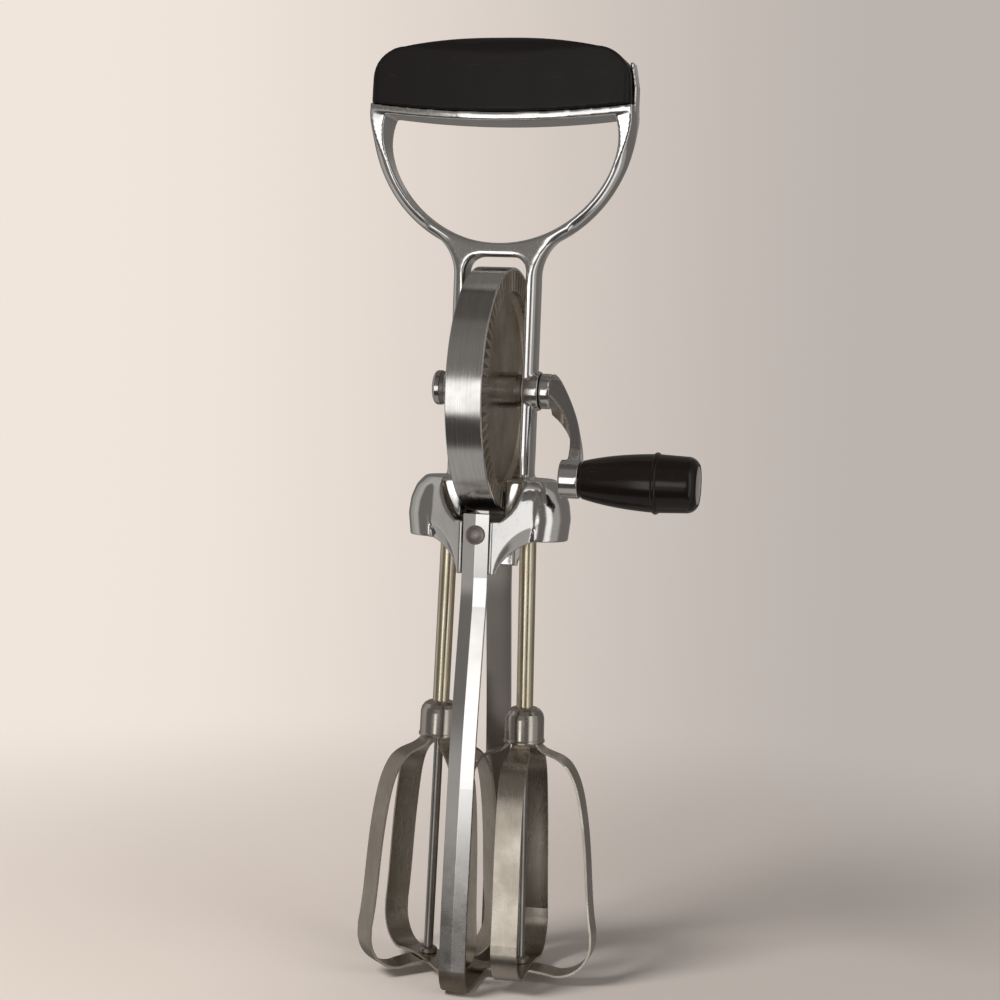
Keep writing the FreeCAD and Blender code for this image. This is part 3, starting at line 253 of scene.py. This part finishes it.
def moulded(name, tint, dull, ripple, coat, scratch_tint):
    """Moulded plastic: soft ripple, worn gloss and a few pale hairline scratches."""
    material, tree = new_material(name)
    cloud = tree.noise(70, 4, 0.6)
    ripples = tree.noise(160, 2, 0.4)
    specks = tree.ramp(tree.noise(1500, 2, 0.5), [(0.0, 0.0), (0.71, 0.0), (0.76, 1.0), (1.0, 1.0)])
    hairs = tree.noise(1, 2, 0.5, (60, 900, 2600), (0.3, 0.5, 0.2))
    scratch = tree.ramp(hairs, [(0.0, 0.0), (0.70, 0.0), (0.73, 1.0), (0.76, 0.0), (1.0, 0.0)])
    marks = tree.math("MAXIMUM", tree.math("MULTIPLY", scratch, 0.35), tree.math("MULTIPLY", specks, 0.3))
    base = tree.mix(marks, (*tint, 1), (*scratch_tint, 1))
    rough = tree.math("ADD", dull, tree.math("MULTIPLY", cloud, 0.16))
    rough = tree.math("ADD", rough, tree.math("MULTIPLY", marks, 0.3), clamp=True)
    normal = tree.bump(ripples, ripple, 0.0001)
    normal = tree.bump(marks, 0.3, -0.00002, normal)
    finish_material(tree, base, rough, normal, Coat_Weight=coat, Coat_Roughness=0.12, Specular_IOR_Level=0.35)
    return material


def make_materials():
    white = (0.86, 0.85, 0.84)
    return {
        # The cast frame and crank carry painted shade, with soiling, in their hollows.
        "frame": plated("cast_chrome", white, 0.09, 0.22, shade_and_grime=0.85),
        "crank": plated("crank_chrome", white, 0.11, 0.25, shade_and_grime=0.6),
        "leg": aged_strip("leg_chrome", (0.84, 0.83, 0.82), 0.10, 0.12, 0.0002),
        "cap": plated("cap_chrome", (0.62, 0.58, 0.53), 0.17, 0.2, 0.3, 0.0001),
        "hub": plated("hub_steel", (0.62, 0.60, 0.58), 0.12, 0.2, 0.3, 0.0002),
        "band": brushed("band_nickel", (0.80, 0.79, 0.77), (0.58, 0.56, 0.53), 0.09, 0.12,
                        (2600, 60, 60), 0.0002, 0.35),
        "gear": brushed("gear_steel", (0.66, 0.60, 0.52), (0.30, 0.23, 0.13), 0.30, 0.3,
                        (500, 500, 500), 0.0, 0.75),
        "pinion": brushed("pinion_steel", (0.40, 0.38, 0.35), (0.14, 0.10, 0.06), 0.35, 0.3,
                          (500, 500, 500), 0.0, 0.7),
        "sleeve": brushed("sleeve_steel", (0.88, 0.80, 0.62), (0.60, 0.48, 0.28), 0.12, 0.12,
                          (900, 900, 90), 0.0, 0.5),
        "blade": brushed("blade_steel", (0.58, 0.53, 0.46), (0.34, 0.28, 0.21), 0.19, 0.25,
                         (1500, 1500, 60), 0.00015, 0.5),
        "spindle": brushed("spindle_steel", (0.52, 0.50, 0.47), (0.30, 0.26, 0.22), 0.26, 0.2,
                           (900, 900, 70), 0.0, 0.5),
        "rivet": brushed("rivet_steel", (0.52, 0.48, 0.44), (0.25, 0.20, 0.16), 0.36, 0.3,
                         (700, 700, 700), 0.0002, 0.6),
        "grip": moulded("grip_black", (0.0075, 0.0052, 0.0058), 0.34, 0.12, 0.0, (0.06, 0.055, 0.055)),
        "knob": moulded("knob_black", (0.0075, 0.0045, 0.0035), 0.12, 0.10, 0.25, (0.08, 0.06, 0.05)),
    }


NODE_FINISH = {
    "frame": "frame", "handle_grip": "grip", "leg": "leg", "front_rivet": "rivet", "back_rivet": "rivet",
    "rim_band": "band", "right_gear_face": "gear", "left_gear_face": "gear", "wheel_hub": "hub",
    "axle": "hub", "right_axle_washer": "rivet", "left_axle_washer": "rivet", "axle_end_washer": "rivet",
    "crank": "crank", "knob_pin": "hub", "knob": "knob",
}
BEATER_FINISH = {"pinion": "pinion", "sleeve": "sleeve", "cap": "cap", "blade_outer": "blade",
                 "blade_inner": "blade", "collar": "rivet", "spindle": "spindle"}


def finish_of(name):
    return NODE_FINISH.get(name) or BEATER_FINISH[name.split("_", 1)[1]]


def paint_nodes(materials):
    for name, node in nodes.items():
        node.data.materials.clear()
        node.data.materials.append(materials[finish_of(name)])


# ---------------------------------------------------------------- softened castings

def applied(piece, name):
    """Bake a piece's modifiers into its mesh."""
    bpy.context.view_layer.update()
    graph = bpy.context.evaluated_depsgraph_get()
    result = bpy.data.meshes.new_from_object(piece.evaluated_get(graph))
    piece.modifiers.clear()
    piece.data = result
    result.name = name
    return result


def softened(name, node_name, body, material, voxel, rounds, zones=()):
    """A copy of a CAD node with its edges softened as casting and polishing leave them.

    Each zone is a height range in metres, with a fade and its own extra rounds of smoothing.
    """
    source = nodes[node_name]
    mesh = source.data.copy()
    mesh.name = name
    piece = bpy.data.objects.new(name, mesh)
    bpy.context.scene.collection.objects.link(piece)
    remesh = piece.modifiers.new("remesh", "REMESH")
    remesh.mode = "VOXEL"
    remesh.voxel_size = voxel
    smooth = piece.modifiers.new("smooth", "SMOOTH")
    smooth.factor = 0.5
    smooth.iterations = rounds
    result = applied(piece, name)
    for index, (low, high, fade, extra) in enumerate(zones):
        group = piece.vertex_groups.new(name=f"zone_{index}")
        for vertex in result.vertices:
            height = vertex.co.z
            weight = min((height - low) / fade, (high - height) / fade, 1.0)
            if weight > 0:
                group.add([vertex.index], weight, "REPLACE")
        more = piece.modifiers.new("more", "SMOOTH")
        more.vertex_group = group.name
        more.factor = 0.5
        more.iterations = extra
    if zones:
        result = applied(piece, name)
        piece.vertex_groups.clear()
    for polygon in result.polygons:
        polygon.use_smooth = True
    result.materials.clear()
    result.materials.append(material)
    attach(piece, body)
    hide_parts(node_name)
    return piece


# ---------------------------------------------------------------- floor, light and surroundings

PALE = (0.90, 0.81, 0.745)
# Paper colour in painted shade, used on the floor's crank side.
PAPER_IN_PAINTED_SHADE = (0.66, 0.60, 0.56)


def make_floor():
    radius = 1.6
    mesh = bpy.data.meshes.new("floor")
    steps = 64
    ring = [(radius * math.cos(2 * math.pi * i / steps), radius * math.sin(2 * math.pi * i / steps), -0.0002)
            for i in range(steps)]
    mesh.from_pydata(ring, [], [tuple(range(steps))])
    floor = bpy.data.objects.new("floor", mesh)
    bpy.context.scene.collection.objects.link(floor)
    material, tree = new_material("floor_paper")
    place = tree.add("ShaderNodeTexCoord").outputs["Object"]
    length = tree.add("ShaderNodeVectorMath", {0: place}, operation="LENGTH").outputs["Value"]
    fade = tree.ramp(tree.math("DIVIDE", length, radius), [(0.0, 0.0), (0.04, 0.0), (0.30, 1.0)], "EASE")
    # Painted shade: the paper darkens from pale towards the crank side (+X).
    across = tree.add("ShaderNodeSeparateXYZ", {0: place}).outputs["X"]
    shade = tree.add("ShaderNodeMapRange", {"Value": across, "From Min": -0.10, "From Max": 0.05},
                     interpolation_type="SMOOTHSTEP").outputs[0]
    paper = tree.add("ShaderNodeBsdfDiffuse", {"Color": tree.mix(shade, (*PALE, 1), (*PAPER_IN_PAINTED_SHADE, 1))})
    clear = tree.add("ShaderNodeBsdfTransparent")
    mixed = tree.add("ShaderNodeMixShader", {0: fade, 1: paper, 2: clear})
    tree.add("ShaderNodeOutputMaterial", {"Surface": mixed})
    mesh.materials.append(material)
    floor.visible_glossy = False


def smooth_window(tree, value, low, high, soft):
    """1 where value lies between low and high, falling to 0 over soft on each side."""
    rise = tree.add("ShaderNodeMapRange", {"Value": value, "From Min": low - soft, "From Max": low + soft},
                    interpolation_type="SMOOTHSTEP").outputs[0]
    fall = tree.add("ShaderNodeMapRange", {"Value": value, "From Min": high - soft, "From Max": high + soft,
                                           "To Min": 1.0, "To Max": 0.0},
                    interpolation_type="SMOOTHSTEP").outputs[0]
    return tree.math("MULTIPLY", rise, fall)


# Cards of the studio round the tool: azimuth range, elevation range in degrees, softness, level.
# Azimuth 0 is straight in front of the tool and 90 is its crank side. Later cards cover earlier ones.
CARDS = [
    ((-200, 200), (-100, -53), 5, 0.34),
    ((-200, 200), (58, 100), 8, 0.09),
    ((-75, -19), (-53, 60), 5, 0.15),
    ((-34, -20), (-12, 2), 4, 0.34),
    ((-19, 38), (9, 60), 6, 0.17),
    ((14, 38), (-53, 40), 5, 0.13),
    ((-75, 60), (-53, -22), 4, 0.06),
    ((-8, 14), (-23, -7), 3, 0.11),
    ((-18, -7), (-22, 8), 2, 1.7),
    ((-9, 12), (-6, 11), 3, 1.35),
    ((41, 62), (-40, 45), 5, 0.95),
    ((-100, -76), (-40, 50), 6, 0.42),
    ((96, 172), (-60, 60), 8, 0.15),
    ((-200, -124), (-60, 70), 6, 0.16),
]
SURROUND = 0.34


def make_world():
    world = bpy.data.worlds.new("studio")
    bpy.context.scene.world = world
    world.use_nodes = True
    tree = Nodes(world.node_tree)
    direction = tree.add("ShaderNodeTexCoord").outputs["Generated"]
    parts = tree.add("ShaderNodeSeparateXYZ", {0: direction})
    x, y, z = parts.outputs
    to_degrees = 180 / math.pi
    azimuth = tree.math("MULTIPLY", tree.math("ARCTAN2", x, tree.math("MULTIPLY", y, -1.0)), to_degrees)
    elevation = tree.math("MULTIPLY", tree.math("ARCSINE", z), to_degrees)
    level = SURROUND
    for (left, right), (low, high), soft, value in CARDS:
        mask = tree.math("MULTIPLY", smooth_window(tree, azimuth, left, right, soft),
                         smooth_window(tree, elevation, low, high, soft))
        step = tree.add("ShaderNodeMix", {"Factor": mask}, data_type="FLOAT")
        tree.feed(step.inputs["A"], level)
        tree.feed(step.inputs["B"], value)
        level = step.outputs["Result"]
    dim = tree.add("ShaderNodeMapRange", {"Value": level, "From Min": 0.1, "From Max": 0.7}).outputs[0]
    tint = tree.mix(dim, (1.0, 0.93, 0.87, 1), (1.0, 0.985, 0.965, 1))
    studio = tree.add("ShaderNodeBackground", {"Color": tint, "Strength": level})
    # Painted light on the backdrop seen by the camera: pale towards -X, falling to painted shade towards the
    # middle and +X.
    side = tree.add("ShaderNodeMapRange", {"Value": x, "From Min": -0.44, "From Max": -0.03},
                    interpolation_type="SMOOTHSTEP").outputs[0]
    backdrop_painted_light = tree.mix(side, (0.88, 0.79, 0.71, 1), (0.50, 0.45, 0.42, 1))
    seen = tree.add("ShaderNodeBackground", {"Color": backdrop_painted_light, "Strength": 1.0})
    ray = tree.add("ShaderNodeLightPath")
    mixed = tree.add("ShaderNodeMixShader", {0: ray.outputs["Is Camera Ray"], 1: studio, 2: seen})
    tree.add("ShaderNodeOutputWorld", {"Surface": mixed})


def area_light(name, place, aim, width, power, colour):
    data = bpy.data.lights.new(name, "AREA")
    data.shape = "DISK"
    data.size = width
    data.energy = power
    data.color = colour
    light = bpy.data.objects.new(name, data)
    bpy.context.scene.collection.objects.link(light)
    light.location = place
    light.rotation_mode = "QUATERNION"
    light.rotation_quaternion = (Vector(aim) - Vector(place)).to_track_quat("-Z", "Y")
    return light


def make_lights():
    middle = (0, 0, 0.15)
    key = area_light("key_light", (-0.55, -0.75, 0.95), middle, 0.5, 12.0, (1.0, 0.98, 0.95))
    key.visible_glossy = False
    area_light("fill_light", (0.8, -0.4, 0.35), middle, 0.6, 2.0, (0.95, 0.97, 1.0)).visible_glossy = False


# ---------------------------------------------------------------- everything together

bpy.context.scene.view_settings.view_transform = "Standard"
make_camera()
make_world()
make_lights()
make_floor()
materials = make_materials()
paint_nodes(materials)
softened("soft_frame", "frame", "main_frame", materials["frame"], 0.32 * MM, 9,
         ((0.1492, 0.170, 0.004, 60), (0.224, 0.262, 0.006, 60)))
softened("soft_grip", "handle_grip", "main_frame", materials["grip"], 0.36 * MM, 14)
softened("soft_crank", "crank", "crank_set", materials["crank"], 0.25 * MM, 10)
